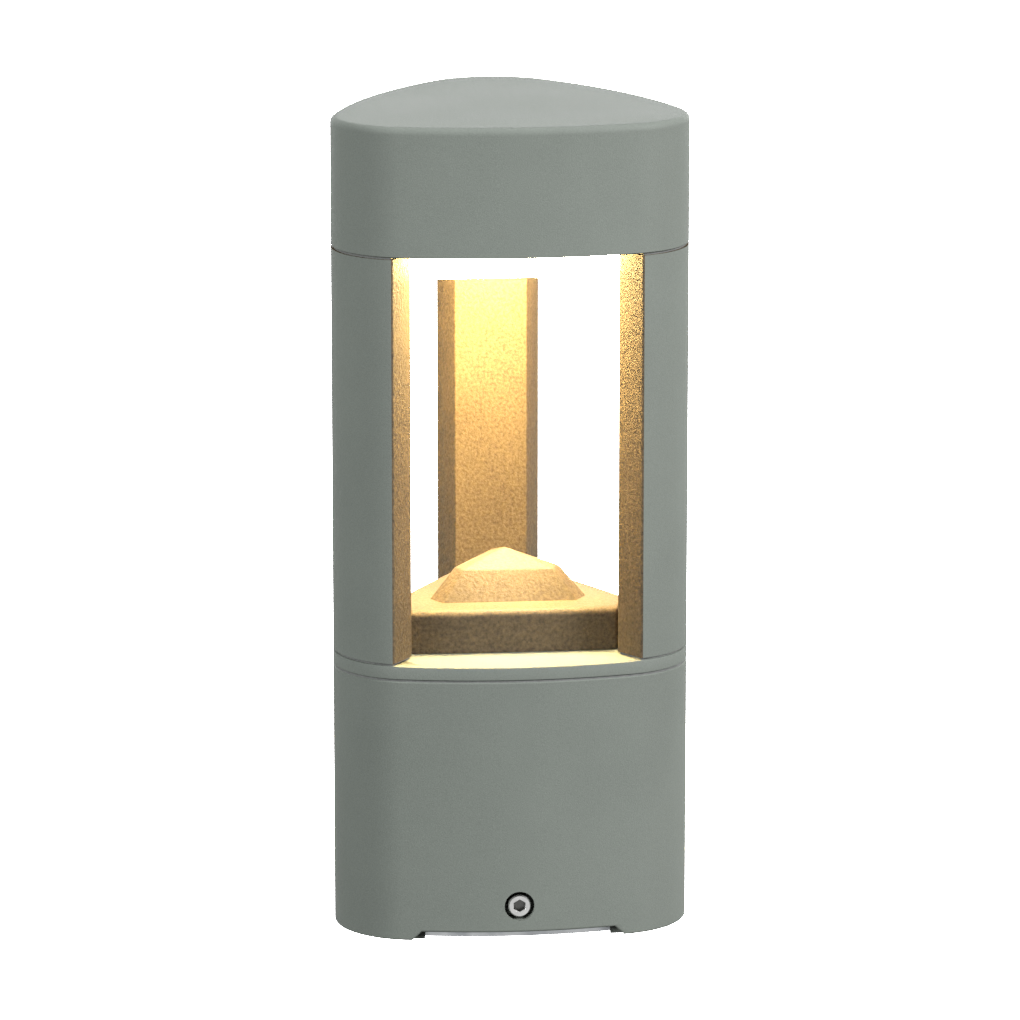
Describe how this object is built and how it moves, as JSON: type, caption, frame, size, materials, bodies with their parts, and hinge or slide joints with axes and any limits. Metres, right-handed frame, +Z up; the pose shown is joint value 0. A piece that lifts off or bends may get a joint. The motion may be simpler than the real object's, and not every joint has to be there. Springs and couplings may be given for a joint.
{
  "type": "bollard light",
  "caption": "Low rounded-triangle bollard light: a lamp in the head shines down through an open windowed chamber onto a pyramid above a hollow base.",
  "frame": {"origin": "on the vertical axis at ground level, at the centre of the anchor holes, on the underside of the anchor plate", "axes": "+Z up along the axis; the front side with its window and side screw faces -Y; one rounded corner and its upright point to +Y"},
  "size_m": [0.13, 0.1251, 0.3],
  "materials": {
    "housing_paint": "matte grey-green powder coat with a fine grain",
    "textured_paint": "coarse sand-textured powder coat",
    "black_rubber": "matte black rubber",
    "stainless_steel": "plain turned stainless steel",
    "galvanised_steel": "dull zinc-plated sheet",
    "bare_aluminium": "bare cast aluminium",
    "opal_diffuser": "satin opal acrylic, lit from inside by a warm white lamp",
    "white_board": "white solder mask on an aluminium board",
    "led_phosphor": "yellow phosphor gel",
    "white_plastic": "moulded white plastic",
    "grey_plastic": "moulded light grey plastic",
    "black_plastic": "moulded black nylon"
  },
  "bodies": {
    "root": {"base_shell": "housing_paint", "base_gasket": "black_rubber", "floor_plate": "housing_paint", "floor_plate_screws": "stainless_steel", "upright_back": "housing_paint", "upright_left": "housing_paint", "upright_right": "housing_paint", "upright_foot_seals": "black_rubber", "upright_head_seals": "black_rubber", "tie_rods": "stainless_steel", "tie_rod_nuts": "stainless_steel", "tie_rod_washers": "stainless_steel", "plinth": "textured_paint", "plinth_screws": "stainless_steel", "pyramid": "textured_paint", "pyramid_screw": "stainless_steel", "head_shell": "housing_paint", "head_plate": "housing_paint", "head_plate_gasket": "black_rubber", "head_plate_screws": "stainless_steel", "diffuser": "opal_diffuser", "diffuser_gasket": "black_rubber", "diffuser_clamp": "bare_aluminium", "heat_sink": "bare_aluminium", "heat_sink_screws": "stainless_steel", "led_board": "white_board", "led_emitter": "led_phosphor", "led_board_screws": "stainless_steel", "reflector_cup": "white_plastic", "led_lead": "black_rubber", "lead_grommets": "black_rubber", "mains_link": "black_rubber", "bracket": "galvanised_steel", "bracket_screws": "stainless_steel", "driver_case": "white_plastic", "driver_screws": "stainless_steel", "connection_box": "grey_plastic", "connection_box_lid": "grey_plastic", "box_lid_screws": "stainless_steel", "box_screws": "stainless_steel", "terminal_block": "white_plastic", "gland_body": "black_plastic", "gland_locknut": "black_plastic", "gland_seal": "black_rubber", "gland_cap": "black_plastic", "anchor_plate": "galvanised_steel", "anchor_ears": "galvanised_steel", "side_screws": "stainless_steel"}
  },
  "joints": []
}
